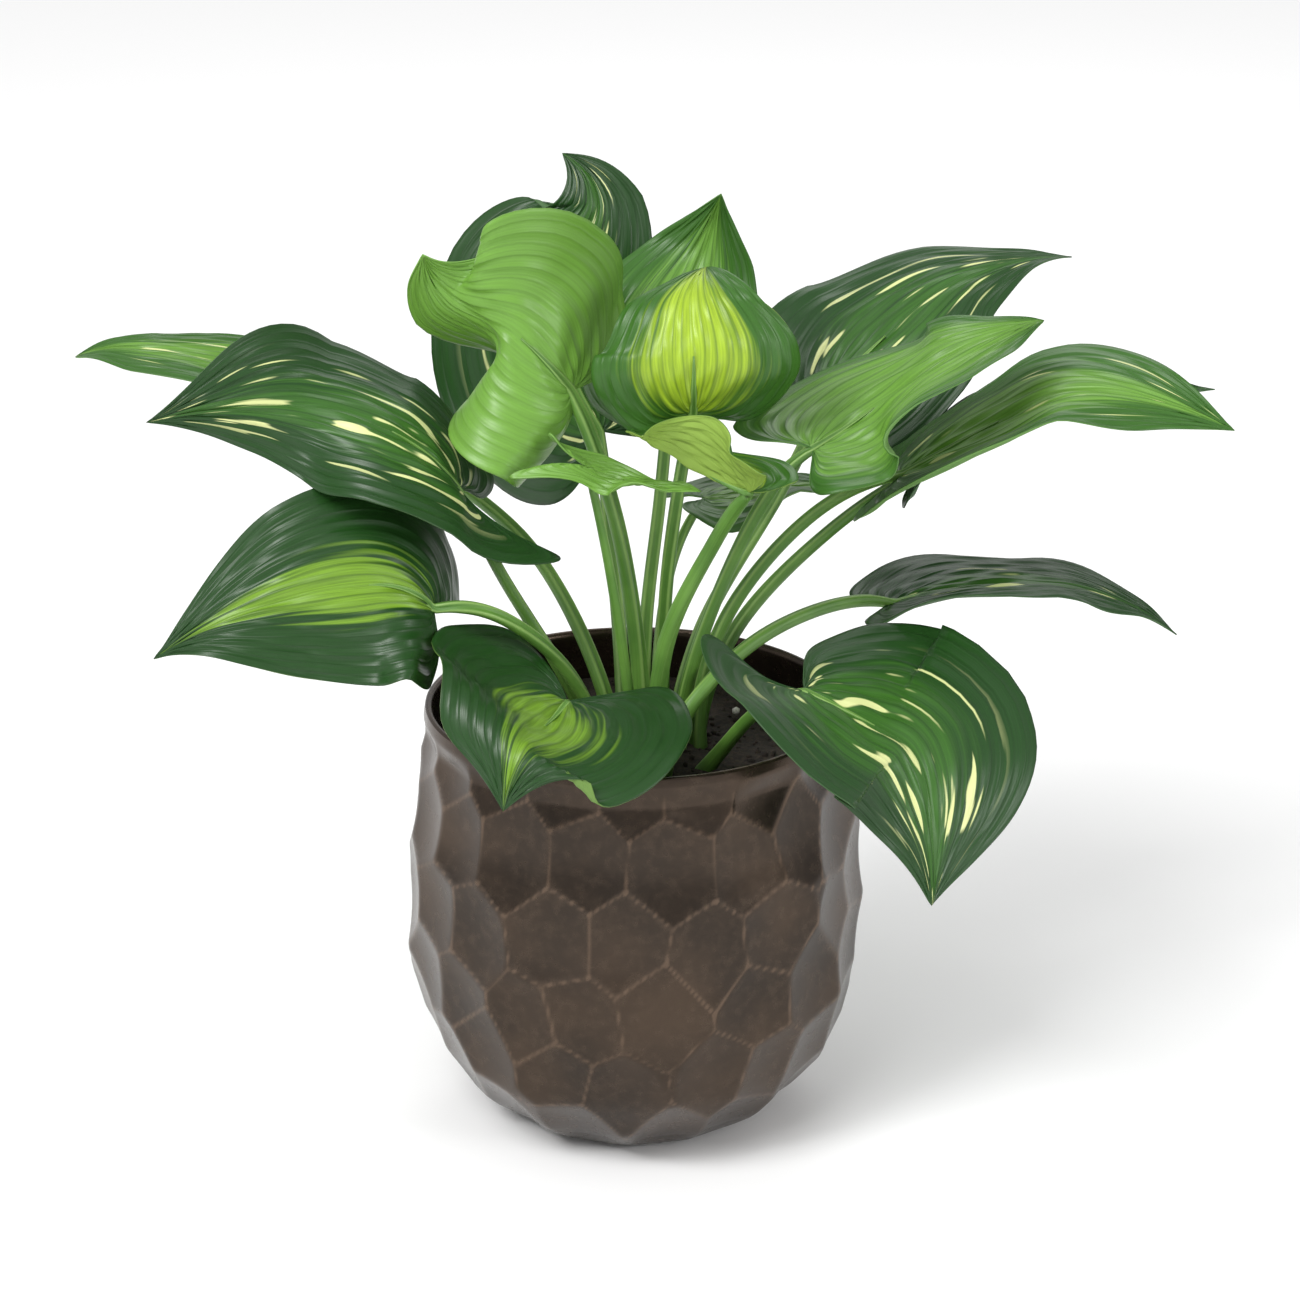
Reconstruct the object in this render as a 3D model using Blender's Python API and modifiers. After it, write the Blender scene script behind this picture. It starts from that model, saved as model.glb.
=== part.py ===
"""Potted hosta: a hammered ceramic pot, its soil, and a clump of stalked, heart-shaped leaves.

Metres, +Z up. The origin is the centre of the pot's foot, on the surface that the pot stands on.
Every leaf is two sub-parts, its stalk and its blade. A blade is one surface worked out from its
midrib: the heart-shaped outline gives how far it reaches to each side, and a few angles say how
the two halves are folded and curled. Solidify turns that surface into a thin closed sheet.
"""

import math

import bpy
import numpy as np

MM = 0.001
GAP = 0.3 * MM

# ---- pot ----
POT_HEIGHT = 186 * MM
FOOT_RADIUS = 46 * MM
POT_SIDES = 60
# (radius, height) down the outside, and up from the floor inside
OUTSIDE = [
    (88.5, 183), (90, 172), (92.5, 158), (95, 141), (97.2, 124), (98.4, 107), (98.5, 92),
    (98, 78), (96.3, 64), (93, 50), (88.3, 38), (81, 27), (71, 15), (62, 8), (53, 2.5),
]
INSIDE = [
    (50, 12), (72, 25), (84, 44), (90, 68), (92, 95), (90.5, 125), (87.5, 150), (84.8, 172), (84.8, 184),
]
FLOOR_THICKNESS = 9 * MM
HOLLOWS_ROUND = 18
HOLLOW_ROWS = 6
HOLLOW_PITCH = 31 * MM
HOLLOW_DEPTH = 2.6 * MM
HOLLOW_STEEPNESS = 11.0  # 1/m, how fast a hollow rises from its middle

# ---- soil and crown ----
SOIL_TOP = 164 * MM
CROWN_CENTRE = (8 * MM, -10 * MM)
CROWN_RADIUS = 34 * MM
CROWN_TOP = 168 * MM
STALK_FOOT = CROWN_TOP + GAP
GRAINS = [(44, 34, 2.6), (58, 12, 2.0), (38, -44, 2.2), (-46, 30, 2.4)]  # x, y, radius

# ---- leaves ----
BLADE_THICKNESS = 0.8 * MM
BLADE_ROWS = 13
BLADE_COLUMNS = 4  # from the midrib to each margin
STALK_STATIONS = 9
STALK_SIDES = 8
STALK_SHORT = 1.7 * MM  # how far short of the blade's first point a stalk stops
STALK_NECK = 14 * MM  # the length over which it narrows to that end
STALK_TIP_RADIUS = 0.5 * MM
# The outline of one half: (along the midrib / its length, out from it / half-width), stalk to tip.
# The lobes reach back past the stalk's end, so they have negative places along.
HEART = [
    (0, 0), (-0.07, 0.15), (-0.15, 0.36), (-0.16, 0.60), (-0.06, 0.85), (0.12, 0.99),
    (0.32, 0.97), (0.52, 0.80), (0.70, 0.54), (0.84, 0.27), (0.94, 0.09), (1, 0),
]


def leaf(stalk, midrib, faces, widths, lobes, left, right, curl, droop, thick=(3.6, 2.7)):
    """One leaf, in mm and degrees.

    stalk: the foot's x and y, then the points that the stalk passes through.
    midrib: four points from the stalk's end to the tip.
    faces: which way the upper face looks at the base and at the tip.
    widths, lobes: half-width, and length of the basal lobe, left and right of the midrib.
    left, right: lift of that half out of the flat at the base, the middle and the tip.
    curl: how far each half bends on its way to the margin. droop: bend of each basal lobe.
    thick: radius of the stalk at its foot and near the blade.
    """
    return dict(
        stalk=stalk, midrib=midrib, faces=faces, widths=widths, lobes=lobes,
        left=left, right=right, curl=curl, droop=droop, thick=thick,
    )


LEAVES = {
    "far_left": leaf(
        stalk=[(-10, -1), (-14, 4, 192), (-51, 34, 250)],
        midrib=[(-131, 70, 283), (-158, 91, 303), (-213, 88, 315), (-245, 106, 305)],
        faces=[(0.5, -0.4, 0.8), (-0.6, -0.1, 0.8)], widths=(37, 33), lobes=(1, 1),
        left=(5, 5, -5), right=(0, -5, 5), curl=(5, -30), droop=(0, 0),
    ),
    "upper_left": leaf(
        stalk=[(-16, -11), (-24, -14, 192), (-55, -18, 250)],
        midrib=[(-71, -25, 288), (-92, -31, 311), (-132, -30, 324), (-194, -40, 320)],
        faces=[(0.9, 0.1, 0.5), (0.1, -0.9, 0.3)], widths=(38, 50), lobes=(1.8, 1),
        left=(0, -30, -25), right=(20, -10, 45), curl=(-15, -15), droop=(-15, 0),
    ),
    "lower_left": leaf(
        stalk=[(-12, -20), (-26, -24, 206), (-58, -42, 240)],
        midrib=[(-81, -46, 243), (-97, -54, 256), (-151, -66, 251), (-192, -66, 229)],
        faces=[(0.8, -0.6, 0.2), (-0.6, -0.6, 0.6)], widths=(41, 45), lobes=(1, 1),
        left=(15, -10, 5), right=(-10, 10, -5), curl=(-5, -25), droop=(10, 10),
    ),
    "front_left": leaf(
        stalk=[(-3, -32), (-16, -42, 188)],
        midrib=[(-27, -49, 204), (-35, -74, 204), (-45, -107, 208), (-51, -113, 183)],
        faces=[(0.2, -0.1, 1), (-0.1, -1, -0.1)], widths=(57, 58), lobes=(1.2, 1.3),
        left=(10, 0, -25), right=(20, 0, -35), curl=(10, 5), droop=(-5, 0),
    ),
    "front_right": leaf(
        stalk=[(28, -27), (36, -30, 175), (52, -46, 200)],
        midrib=[(69, -60, 213), (96, -76, 205), (112, -82, 196), (119, -106, 139)],
        faces=[(0.1, -0.1, 1), (0.4, -0.9, 0.3)], widths=(72, 58), lobes=(0.9, 1.7),
        left=(5, -5, 0), right=(10, 5, 0), curl=(5, 10), droop=(10, -15),
    ),
    "right_low": leaf(
        stalk=[(11, -35), (22, -28, 192), (52, -2, 214), (88, 20, 222)],
        midrib=[(111, 28, 219), (147, 31, 226), (194, 36, 222), (232, 29, 204)],
        faces=[(-0.3, 0.1, 0.9), (0.5, -0.1, 0.8)], widths=(41, 38), lobes=(0.8, 0.7),
        left=(10, 0, 0), right=(5, 10, 0), curl=(0, 0), droop=(0, 0), thick=(4, 3),
    ),
    "right": leaf(
        stalk=[(27, -3), (37, 6, 217), (77, 12, 266)],
        midrib=[(111, 10, 282), (150, 5, 307), (180, 1, 322), (245, -9, 307)],
        faces=[(-0.6, -0.2, 0.8), (0.2, -0.7, 0.7)], widths=(48, 43), lobes=(0.8, 0.9),
        left=(0, -5, 0), right=(5, 10, -5), curl=(-35, 40), droop=(0, 0),
    ),
    "back_right": leaf(
        stalk=[(17, 4), (28, 26, 206), (64, 52, 264)],
        midrib=[(82, 78, 294), (106, 90, 317), (141, 111, 339), (191, 118, 347)],
        faces=[(-0.4, -0.8, 0.5), (0, 0, 1)], widths=(48, 46), lobes=(1, 1),
        left=(5, 0, -5), right=(0, 0, 5), curl=(-5, -20), droop=(0, 0),
    ),
    "mid_right": leaf(
        stalk=[(18, -8), (25, -10, 208), (56, -18, 285)],
        midrib=[(73, -20, 303), (94, -9, 314), (127, -14, 341), (167, 3, 350)],
        faces=[(0, -0.4, 0.9), (0.2, -0.3, 0.9)], widths=(49, 42), lobes=(0.7, 1),
        left=(5, -5, 0), right=(0, 10, 0), curl=(-40, 25), droop=(-5, 10),
    ),
    "centre": leaf(
        stalk=[(12, -2), (13, -10, 233), (18, -24, 285)],
        midrib=[(24, -36, 323), (24, -43, 348), (23, -29, 369), (30, 0, 373)],
        faces=[(0.1, -0.8, -0.6), (-0.1, 0.2, 1)], widths=(43, 46), lobes=(1, 1.1),
        left=(0, -10, 0), right=(-5, 0, 0), curl=(-35, -25), droop=(0, 10), thick=(3.2, 2.6),
    ),
    "centre_back": leaf(
        stalk=[(4, 5), (5, 16, 214), (11, 24, 268)],
        midrib=[(14, 29, 302), (16, 24, 331), (29, 44, 369), (36, 39, 394)],
        faces=[(0.1, -0.8, -0.5), (-0.3, -0.9, -0.4)], widths=(44, 45), lobes=(0.7, 0.6),
        left=(-10, 5, 0), right=(-10, 0, 0), curl=(-50, -20), droop=(5, 5), thick=(3.2, 2.6),
    ),
    "small_centre": leaf(
        stalk=[(11, -23), (13, -30, 221), (33, -44, 272)],
        midrib=[(46, -64, 299), (30, -58, 304), (10, -62, 317), (4, -80, 327)],
        faces=[(0, -0.1, 1), (0.1, 0.3, 0.9)], widths=(29, 27), lobes=(1, 1.2),
        left=(70, 70, 60), right=(15, 20, 10), curl=(-35, -15), droop=(0, 0), thick=(4.2, 3),
    ),
    "back": leaf(
        stalk=[(-4, 8), (-6, 30, 199), (-11, 54, 247)],
        midrib=[(-15, 69, 283), (-32, 82, 335), (-16, 93, 378), (-31, 105, 396)],
        faces=[(0, -1, 0.2), (-0.1, -0.8, 0.6)], widths=(64, 54), lobes=(0.8, 0.8),
        left=(-10, 5, 0), right=(0, 0, 0), curl=(-35, -25), droop=(0, 0),
    ),
    "mid_left": leaf(
        stalk=[(4, -13), (3, -8, 198), (-7, -14, 270)],
        midrib=[(-25, -16, 326), (-47, -21, 351), (-74, -8, 363), (-84, -14, 382)],
        faces=[(0.7, -0.7, 0), (0.1, -0.8, -0.6)], widths=(52, 60), lobes=(1.8, 0.9),
        left=(10, -20, 0), right=(-5, -10, 5), curl=(-30, -20), droop=(25, 10), thick=(4.2, 3.2),
    ),
    "far_right": leaf(
        stalk=[(26, 7), (42, 20, 208), (83, 38, 248)],
        midrib=[(122, 47, 272), (152, 50, 297), (199, 65, 301), (249, 70, 301)],
        faces=[(-0.8, -0.1, 0.6), (0, -0.3, 0.9)], widths=(35, 28), lobes=(0.8, 0.6),
        left=(0, 5, 0), right=(10, 0, 0), curl=(-15, 5), droop=(0, 0),
    ),
    "low_back": leaf(
        stalk=[(10, 14), (12, 50, 206), (20, 80, 229)],
        midrib=[(31, 94, 244), (54, 103, 244), (78, 111, 244), (97, 128, 237)],
        faces=[(0.1, 0, 1), (0.5, 0.1, 0.9)], widths=(31, 29), lobes=(1, 1.3),
        left=(0, 0, 5), right=(-5, 20, -5), curl=(-15, -10), droop=(0, -10), thick=(2.8, 2),
    ),
    "young": leaf(
        stalk=[(1, -22), (-2, -22, 196), (-10, -30, 257)],
        midrib=[(-18, -40, 301), (-5, -42, 297), (12, -57, 300), (27, -58, 297)],
        faces=[(0.4, -0.3, 0.9), (0.4, -0.2, 0.9)], widths=(14, 11), lobes=(2.2, 3.1),
        left=(0, 0, 0), right=(5, -5, 5), curl=(-20, -20), droop=(-5, 10), thick=(2.8, 2),
    ),
}


def clear_scene():
    for thing in list(bpy.data.objects):
        bpy.data.objects.remove(thing)


def material(name, colour, roughness, metallic=0.0):
    made = bpy.data.materials.new(name)
    made.use_nodes = True
    shader = made.node_tree.nodes["Principled BSDF"]
    shader.inputs["Base Color"].default_value = (*colour, 1)
    shader.inputs["Roughness"].default_value = roughness
    shader.inputs["Metallic"].default_value = metallic
    return made


def mesh_object(name, points, faces, look):
    """An object in the plant's collection from a list of corners and a list of faces."""
    mesh = bpy.data.meshes.new(name)
    mesh.from_pydata([tuple(map(float, p)) for p in points], [], faces)
    mesh.validate()
    mesh.materials.append(look)
    mesh.polygons.foreach_set("use_smooth", [True] * len(mesh.polygons))
    made = bpy.data.objects.new(name, mesh)
    collection.objects.link(made)
    return made


def unit(vectors):
    return vectors / np.maximum(np.linalg.norm(vectors, axis=-1, keepdims=True), 1e-9)


def through(points, places):
    """A smooth curve through the points, read at places from 0 to 1 (a Catmull-Rom spline)."""
    points = np.asarray(points, float)
    step = np.linalg.norm(np.diff(points, axis=0), axis=1) ** 0.5
    knots = np.concatenate([[0], np.cumsum(step)]) / step.sum()
    slope = np.empty_like(points)
    before = np.diff(points, axis=0) / np.diff(knots)[:, None]
    share = np.diff(knots)
    both = (share[1:] + share[:-1])[:, None]
    slope[1:-1] = (before[1:] * share[:-1, None] + before[:-1] * share[1:, None]) / both
    slope[0] = 2 * before[0] - slope[1]
    slope[-1] = 2 * before[-1] - slope[-2]
    places = np.clip(np.asarray(places, float), 0, 1)
    i = np.clip(np.searchsorted(knots, places, side="right") - 1, 0, len(points) - 2)
    h = share[i][..., None]
    s = ((places - knots[i]) / share[i])[..., None]
    return (
        (2 * s**3 - 3 * s**2 + 1) * points[i] + (s**3 - 2 * s**2 + s) * h * slope[i]
        + (3 * s**2 - 2 * s**3) * points[i + 1] + (s**3 - s**2) * h * slope[i + 1]
    )


def rings_to_faces(rings, sides, closed_ends):
    """Quads between successive rings of corners, with flat caps when the ends are closed."""
    faces = []
    for ring in range(rings - 1):
        for side in range(sides):
            after = (side + 1) % sides
            low, high = ring * sides, (ring + 1) * sides
            faces.append((low + side, low + after, high + after, high + side))
    if closed_ends:
        faces.append(tuple(reversed(range(sides))))
        faces.append(tuple(range((rings - 1) * sides, rings * sides)))
    return faces


def hollow_centres():
    """(angle, height) of the middle of every hammered hollow: staggered rows, each a little astray."""
    draw = np.random.default_rng(11)
    centres = []
    for row in range(HOLLOW_ROWS):
        height = (18 + 32 * row) * MM
        count = HOLLOWS_ROUND if row else 13
        for k in range(count):
            angle = 2 * math.pi * (k + 0.5 * (row % 2)) / count + draw.uniform(-0.09, 0.09)
            centres.append((angle, height + draw.uniform(-8, 8) * MM))
    return np.array(centres)


def hollow_depth(angle, height, centres):
    """How far the wall is hammered in: each hollow is a dish, and the deepest dish wins."""
    turn = (angle[:, None] - centres[:, 0] + math.pi) % (2 * math.pi) - math.pi
    across = turn * 95 * MM
    up = (height[:, None] - centres[:, 1]) * 0.85
    dish = HOLLOW_DEPTH - HOLLOW_STEEPNESS * (across**2 + up**2)
    fade = np.clip((POT_HEIGHT - 5 * MM - height) / (8 * MM), 0, 1) * np.clip(height / (12 * MM), 0, 1)
    return np.maximum(dish.max(axis=1), 0) * fade


def make_pot():
    """The wall as one surface of rings: down the outside, under the foot, then up the inside."""
    centres = hollow_centres()
    angles = np.arange(POT_SIDES) * 2 * math.pi / POT_SIDES
    rings = []

    def ring(radius, height, dent=None):
        r = radius - (0 if dent is None else dent)
        rings.append(np.stack([r * np.cos(angles), r * np.sin(angles), np.full(POT_SIDES, height)], -1))

    ring(87.6 * MM, POT_HEIGHT)
    for radius, height in OUTSIDE:
        height = height * MM
        ring(radius * MM, height, hollow_depth(angles, np.full(POT_SIDES, height), centres))
    ring(FOOT_RADIUS, 0)
    under = len(rings) * POT_SIDES
    for radius, height in INSIDE:
        ring(radius * MM, height * MM)
    ring(85.8 * MM, POT_HEIGHT)
    count = len(rings)
    inner = under // POT_SIDES
    points = list(np.concatenate(rings))
    faces = []
    for k in range(count):
        nxt = (k + 1) % count
        if k == inner - 1:
            continue
        for side in range(POT_SIDES):
            after = (side + 1) % POT_SIDES
            here, there = k * POT_SIDES, nxt * POT_SIDES
            faces.append((here + side, there + side, there + after, here + after))
    # the underside and the inner floor each close on their own middle
    points.append(np.array([0, 0, 0]))
    points.append(np.array([0, 0, FLOOR_THICKNESS + 1 * MM]))
    low, high = len(points) - 2, len(points) - 1
    for side in range(POT_SIDES):
        after = (side + 1) % POT_SIDES
        faces.append(((inner - 1) * POT_SIDES + side, low, (inner - 1) * POT_SIDES + after))
        faces.append((inner * POT_SIDES + after, high, inner * POT_SIDES + side))
    return mesh_object("pot", points, faces, POT_LOOK)


def make_soil():
    """Soil fills the pot to just under the rim, a hair clear of the wall all round."""
    angles = np.arange(POT_SIDES) * 2 * math.pi / POT_SIDES
    heights = [14, 25.5, 44, 68, 95, 125, 150, SOIL_TOP / MM - 1.5, SOIL_TOP / MM]
    radii = np.interp(heights, [z for _, z in INSIDE], [r for r, _ in INSIDE]) - 0.6
    radii[0] -= 2
    radii[-1] -= 1.5
    rings = [
        np.stack([r * MM * np.cos(angles), r * MM * np.sin(angles), np.full(POT_SIDES, z * MM)], -1)
        for r, z in zip(radii, heights)
    ]
    points = np.concatenate(rings)
    return mesh_object("soil", points, rings_to_faces(len(rings), POT_SIDES, True), SOIL_LOOK)


def make_crown():
    """The low root crown that every stalk stands on: a flat-topped mound lying on the soil."""
    sides = 28
    angles = np.arange(sides) * 2 * math.pi / sides
    x, y = CROWN_CENTRE
    profile = [
        (CROWN_RADIUS, SOIL_TOP + GAP),
        (CROWN_RADIUS - 0.5 * MM, SOIL_TOP + 2 * MM),
        (CROWN_RADIUS - 3 * MM, CROWN_TOP),
    ]
    rings = [
        np.stack([x + r * np.cos(angles), y + r * np.sin(angles), np.full(sides, z)], -1)
        for r, z in profile
    ]
    return mesh_object("root_crown", np.concatenate(rings), rings_to_faces(3, sides, True), CROWN_LOOK)


def make_grain(name, x, y, radius):
    """One puffed white mineral grain resting on the soil."""
    bpy.ops.mesh.primitive_ico_sphere_add(subdivisions=1, radius=radius * MM)
    made = bpy.context.object
    made.name = made.data.name = name
    made.location = (x * MM, y * MM, SOIL_TOP + GAP + radius * MM)
    made.data.materials.append(GRAIN_LOOK)
    for other in list(made.users_collection):
        other.objects.unlink(made)
    collection.objects.link(made)
    return made


def stalk_curve(shape):
    """Points down the middle of a stalk, upright at its foot and ending just short of the blade."""
    foot = (*shape["stalk"][0], STALK_FOOT / MM)
    points = [foot, *shape["stalk"][1:], shape["midrib"][0]]
    whole = through(np.array(points) * MM, np.linspace(0, 1, 80))
    run = np.concatenate([[0], np.cumsum(np.linalg.norm(np.diff(whole, axis=0), axis=1))])
    end = run[-1] - STALK_SHORT
    places = end * (1 - (1 - np.linspace(0, 1, STALK_STATIONS)) ** 1.15)
    return np.stack([np.interp(places, run, whole[:, k]) for k in range(3)], -1), end - places



def make_stalk(name, shape):
    centre, left_to_go = stalk_curve(shape)
    along = unit(np.gradient(centre, axis=0))
    along[0] = (0, 0, 1)
    foot_radius, top_radius = np.array(shape["thick"]) * MM
    share = np.linspace(0, 1, STALK_STATIONS)
    radius = foot_radius + (top_radius - foot_radius) * share
    radius = np.minimum(radius, STALK_TIP_RADIUS + (top_radius - STALK_TIP_RADIUS) * left_to_go / STALK_NECK)
    side = unit(np.cross(along, (0, 1, 0.02)))
    other = np.cross(along, side)
    turn = np.arange(STALK_SIDES) * 2 * math.pi / STALK_SIDES
    rings = centre[:, None] + radius[:, None, None] * (
        np.cos(turn)[:, None] * side[:, None] + np.sin(turn)[:, None] * other[:, None]
    )
    faces = rings_to_faces(STALK_STATIONS, STALK_SIDES, True)
    return mesh_object(name, rings.reshape(-1, 3), faces, STALK_LOOK)


def blade_surface(shape, rows, columns):
    """Corners of a blade, rows from stalk to tip by columns from the left margin to the right one."""
    places = np.linspace(0, 1, 160)
    rib = through(np.array(shape["midrib"]) * MM, places)
    run = np.concatenate([[0], np.cumsum(np.linalg.norm(np.diff(rib, axis=0), axis=1))])
    length = run[-1]
    heading = unit(np.gradient(rib, run, axis=0))
    u, v = np.meshgrid(np.linspace(0, 1, rows + 1), np.linspace(-1, 1, 2 * columns + 1), indexing="ij")
    on_left = v < 0

    def by_side(pair):
        return np.where(on_left, pair[0], pair[1])

    outline = through(HEART, u)
    reach, out = outline[..., 0], outline[..., 1]
    reach = np.where(reach < 0, reach * by_side(shape["lobes"]), reach)
    spread = np.abs(v) ** 1.4
    x = ((1 - spread) * u**1.5 + spread * reach) * length
    width = by_side(shape["widths"]) * MM
    y = np.abs(v) * out * width

    at = np.clip(x, 0, length)
    middle = np.stack([np.interp(at, run, rib[:, k]) for k in range(3)], -1)
    ahead = unit(np.stack([np.interp(at, run, heading[:, k]) for k in range(3)], -1))
    share = (at / length)[..., None]
    base_face, tip_face = unit(np.array(shape["faces"], float))
    face = base_face * (1 - share) + tip_face * share
    normal = unit(face - (face * ahead).sum(-1, keepdims=True) * ahead)
    across = np.cross(ahead, normal)

    behind = np.minimum(x, 0)[..., None]
    bend = np.tan(np.radians(by_side(shape["droop"])))[..., None]
    middle = middle + behind * ahead - normal * bend * behind**2 / (0.15 * length)

    def lift(angles):
        return np.interp(np.clip(x / length, 0, 1), (0, 0.5, 1), angles)

    start = np.radians(np.where(on_left, lift(shape["left"]), lift(shape["right"])))
    bending = np.radians(by_side(shape["curl"])) / width
    bending = np.where(np.abs(bending) < 1e-4, 1e-4, bending)
    sideways = (np.sin(start + bending * y) - np.sin(start)) / bending
    raised = (np.cos(start) - np.cos(start + bending * y)) / bending
    return middle + across * (sideways * np.sign(v))[..., None] + normal * raised[..., None]


def make_blade(name, shape, look):
    grid = blade_surface(shape, BLADE_ROWS, BLADE_COLUMNS)
    wide = grid.shape[1]
    points = [grid[0, BLADE_COLUMNS], *grid[1:-1].reshape(-1, 3), grid[-1, BLADE_COLUMNS]]
    last = len(points) - 1

    def corner(row, column):
        return 1 + (row - 1) * wide + column

    faces = []
    for column in range(wide - 1):
        faces.append((0, corner(1, column + 1), corner(1, column)))
        faces.append((last, corner(BLADE_ROWS - 1, column), corner(BLADE_ROWS - 1, column + 1)))
        for row in range(1, BLADE_ROWS - 1):
            near = (corner(row, column), corner(row, column + 1))
            far = (corner(row + 1, column + 1), corner(row + 1, column))
            faces.append(near + far)
    made = mesh_object(name, points, faces, look)
    sheet = made.modifiers.new("Sheet", "SOLIDIFY")
    sheet.thickness = BLADE_THICKNESS
    sheet.offset = 0
    return made


clear_scene()
collection = bpy.data.collections.new("Potted hosta")
bpy.context.scene.collection.children.link(collection)

POT_LOOK = material("glazed_pot", (0.045, 0.035, 0.028), 0.35, 0.3)
SOIL_LOOK = material("potting_soil", (0.018, 0.012, 0.008), 0.95)
CROWN_LOOK = material("root_crown_earth", (0.03, 0.025, 0.012), 0.9)
GRAIN_LOOK = material("white_grain", (0.75, 0.73, 0.68), 0.8)
STALK_LOOK = material("green_stalk", (0.12, 0.3, 0.05), 0.45)
DARK_LOOK = material("dark_leaf", (0.03, 0.12, 0.025), 0.4)
LIGHT_LOOK = material("light_leaf", (0.16, 0.38, 0.07), 0.4)
LIGHT_LEAVES = {"mid_left", "mid_right", "centre", "centre_back", "young", "small_centre"}

make_pot()
make_soil()
make_crown()
for number, (x, y, radius) in enumerate(GRAINS, 1):
    make_grain(f"grain_{number}", x, y, radius)
for title, shape in LEAVES.items():
    make_stalk(f"{title}_stalk", shape)
    make_blade(f"{title}_blade", shape, LIGHT_LOOK if title in LIGHT_LEAVES else DARK_LOOK)
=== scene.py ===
# %% [markdown]
# # A potted hosta
# A round hammered pot, filled with soil, holds one clump of hosta. Each leaf of a hosta is a
# heart-shaped blade on its own channelled stalk, and all the stalks come out of one crown at
# the soil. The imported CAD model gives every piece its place. This lesson lays finer surfaces
# over it: each one is a function of two parameters, worked out for a whole grid at once.

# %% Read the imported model
import math

import bmesh
import bpy
import numpy as np
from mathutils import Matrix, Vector


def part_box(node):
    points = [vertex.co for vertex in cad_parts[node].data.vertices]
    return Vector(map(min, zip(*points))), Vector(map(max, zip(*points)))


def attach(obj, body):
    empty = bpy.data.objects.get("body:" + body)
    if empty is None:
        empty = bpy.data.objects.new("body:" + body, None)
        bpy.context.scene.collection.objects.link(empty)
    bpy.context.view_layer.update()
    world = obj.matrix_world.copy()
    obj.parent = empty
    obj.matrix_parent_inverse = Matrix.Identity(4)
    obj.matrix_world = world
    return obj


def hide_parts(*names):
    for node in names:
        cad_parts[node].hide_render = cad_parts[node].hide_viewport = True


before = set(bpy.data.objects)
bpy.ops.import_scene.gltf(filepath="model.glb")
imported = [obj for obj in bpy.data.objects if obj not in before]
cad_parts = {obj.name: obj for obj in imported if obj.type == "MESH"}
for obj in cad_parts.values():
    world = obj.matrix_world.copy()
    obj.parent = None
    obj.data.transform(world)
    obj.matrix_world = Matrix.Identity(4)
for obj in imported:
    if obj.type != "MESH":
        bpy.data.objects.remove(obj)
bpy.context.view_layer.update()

MM = 0.001
POLE = 0.001 * MM  # corners closer than this are one

# %% [markdown]
# ## Putting a grid of points into a mesh
# Blender can build a mesh from any list of corners and faces. A surface that is a function of
# two parameters needs no modelling tool: numpy works out every corner at once, and the faces
# simply join neighbours in the grid. The two parameters are kept as a UV map, so that a
# pattern can later follow the surface, as a leaf's stripes follow its veins.

# %% Grid helpers
def unit(vectors):
    """Each vector divided by its own length."""
    return vectors / np.maximum(np.linalg.norm(vectors, axis=-1, keepdims=True), 1e-9)


def grid_faces(rows, columns, first=0, around=False, flip=False):
    """Quads between neighbours: corner (i, j) has number first + i * columns + j.

    With around, the last column joins the first, which closes a tube.
    """
    strips = columns if around else columns - 1
    i, j = np.meshgrid(np.arange(rows - 1), np.arange(strips), indexing="ij")
    after = (j + 1) % columns
    this_row, next_row = i * columns, (i + 1) * columns
    quads = np.stack([this_row + j, this_row + after, next_row + after, next_row + j], -1)
    quads = quads.reshape(-1, 4) + first
    return quads[:, ::-1] if flip else quads


def add_piece(name, points, faces, look, node, uv=None, under=None, merge=0.0):
    """A smooth-shaded object at the origin; it stands for its CAD node and rides on the one body.

    Corners closer together than merge become one, which closes the poles of a grid.
    """
    mesh = bpy.data.meshes.new(name)
    mesh.from_pydata(points.tolist(), [], faces.tolist())
    if uv is not None:
        corner = np.empty(len(mesh.loops), np.int32)
        mesh.loops.foreach_get("vertex_index", corner)
        layer = mesh.uv_layers.new(name="UVMap")
        layer.data.foreach_set("uv", uv[corner].astype(np.float32).ravel())
    if under is not None:
        mark = mesh.attributes.new("under", "FLOAT", "POINT")
        mark.data.foreach_set("value", under.astype(np.float32))
    if merge:
        shape = bmesh.new()
        shape.from_mesh(mesh)
        bmesh.ops.remove_doubles(shape, verts=shape.verts, dist=merge)
        bmesh.ops.dissolve_degenerate(shape, edges=shape.edges, dist=merge)
        shape.to_mesh(mesh)
        shape.free()
    mesh.polygons.foreach_set("use_smooth", [True] * len(mesh.polygons))
    mesh.materials.append(look)
    made = bpy.data.objects.new(name, mesh)
    bpy.context.scene.collection.objects.link(made)
    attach(made, "root")
    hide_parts(node)


print("a grid of 3 by 4 points has", len(grid_faces(3, 4)), "quads")

# %% [markdown]
# ## Shader maths as plain arithmetic
# A procedural material is a sum of small patterns. Wiring Math nodes by hand is slow to read,
# so a socket is wrapped in a class that understands +, -, * and the rest: an expression such as
# `1 - mask * 0.5` then adds the nodes for itself.

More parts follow.
